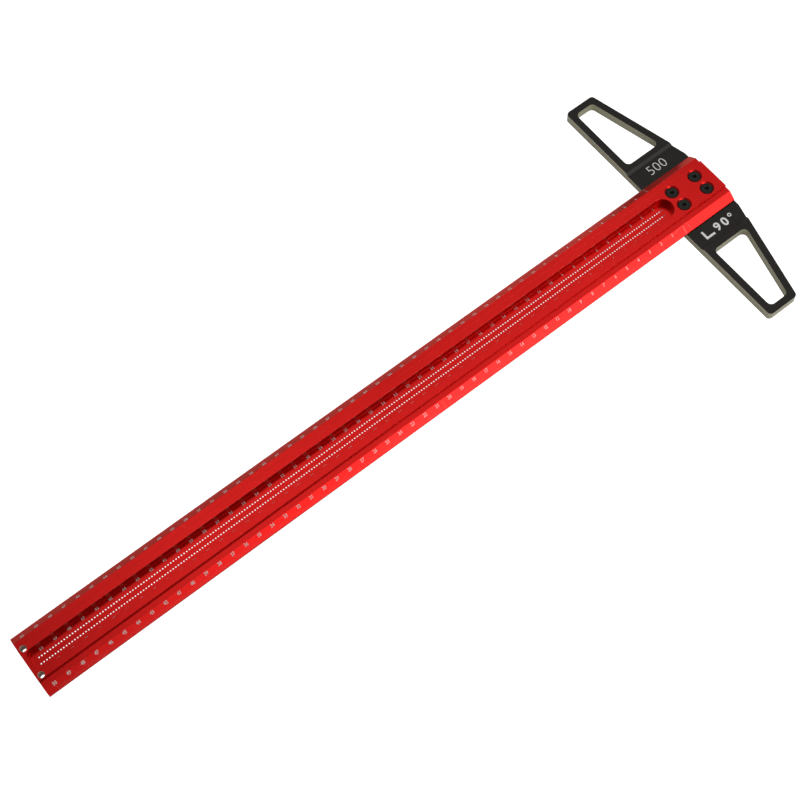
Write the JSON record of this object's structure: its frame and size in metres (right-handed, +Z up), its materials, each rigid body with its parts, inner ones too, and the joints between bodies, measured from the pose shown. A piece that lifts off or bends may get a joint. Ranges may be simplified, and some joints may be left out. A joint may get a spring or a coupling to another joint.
{
  "type": "t square",
  "caption": "T square with a long bevelled aluminium blade, a scribing channel down its middle, and a dark head with an open window in each wing.",
  "frame": {"origin": "middle of the head's registration face, on the blade's centre line and at mid height of the face under the blade", "axes": "+X along the blade away from the head and square to the registration face, +Z up through the blade, Y along the head"},
  "size_m": [0.55, 0.2048, 0.0121],
  "materials": {
    "red_anodised": "fine satin anodised aluminium dyed red, with white engraved graduations",
    "black_anodised": "bead blasted and anodised black, with a white engraved number",
    "black_oxide": "black oxide on steel, slightly oily sheen"
  },
  "bodies": {
    "root": {"blade": "red_anodised", "head": "black_anodised", "countersunk_screw_1": "black_oxide", "countersunk_screw_2": "black_oxide", "countersunk_screw_3": "black_oxide", "countersunk_screw_4": "black_oxide"}
  },
  "joints": []
}
